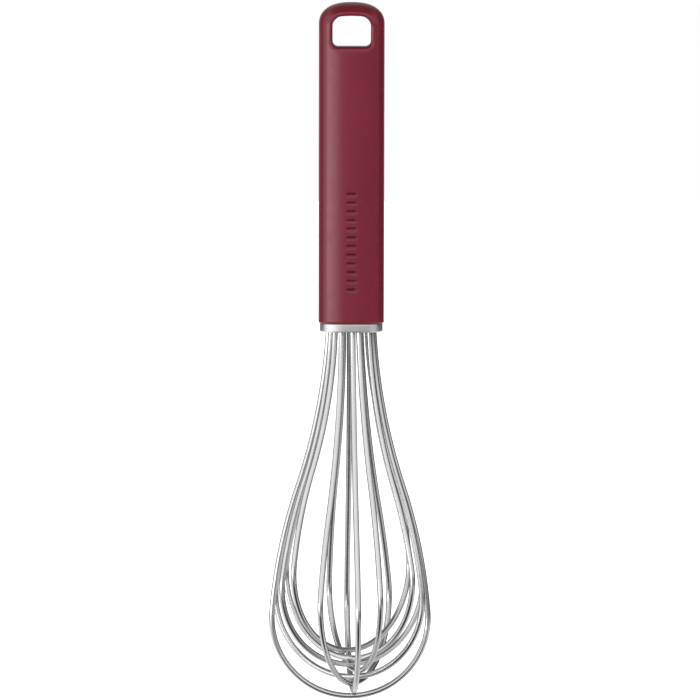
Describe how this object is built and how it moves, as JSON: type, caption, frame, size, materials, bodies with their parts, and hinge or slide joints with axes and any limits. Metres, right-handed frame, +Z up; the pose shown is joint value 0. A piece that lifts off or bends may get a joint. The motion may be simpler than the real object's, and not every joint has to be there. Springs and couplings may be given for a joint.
{
  "type": "balloon whisk",
  "caption": "Hand whisk: nested steel wire loops forming a balloon head, set through a narrow steel band into a long soft-square plastic handle with a hanging hole.",
  "frame": {"origin": "the hanging point, at the middle of the top wall of the hole near the end of the handle, where a hook bears", "axes": "+Z up along the handle, from the wire head towards the hanging end; -Y the front face; +X to the right seen from the front"},
  "size_m": [0.062, 0.0646, 0.2667],
  "materials": {
    "handle_plastic": "soft satin moulded plastic, burgundy",
    "band_steel": "brushed around the band",
    "holder_plastic": "matt dark grey",
    "seal_resin": "cast resin",
    "wire_steel": "polished stainless steel"
  },
  "bodies": {
    "root": {"handle": "handle_plastic", "ferrule": "band_steel", "wire_holder": "holder_plastic", "sealing_compound": "seal_resin", "wire_loop_1": "wire_steel", "wire_loop_2": "wire_steel", "wire_loop_3": "wire_steel", "wire_loop_4": "wire_steel", "wire_loop_5": "wire_steel", "wire_loop_6": "wire_steel", "wire_loop_7": "wire_steel", "wire_loop_8": "wire_steel"}
  },
  "joints": []
}
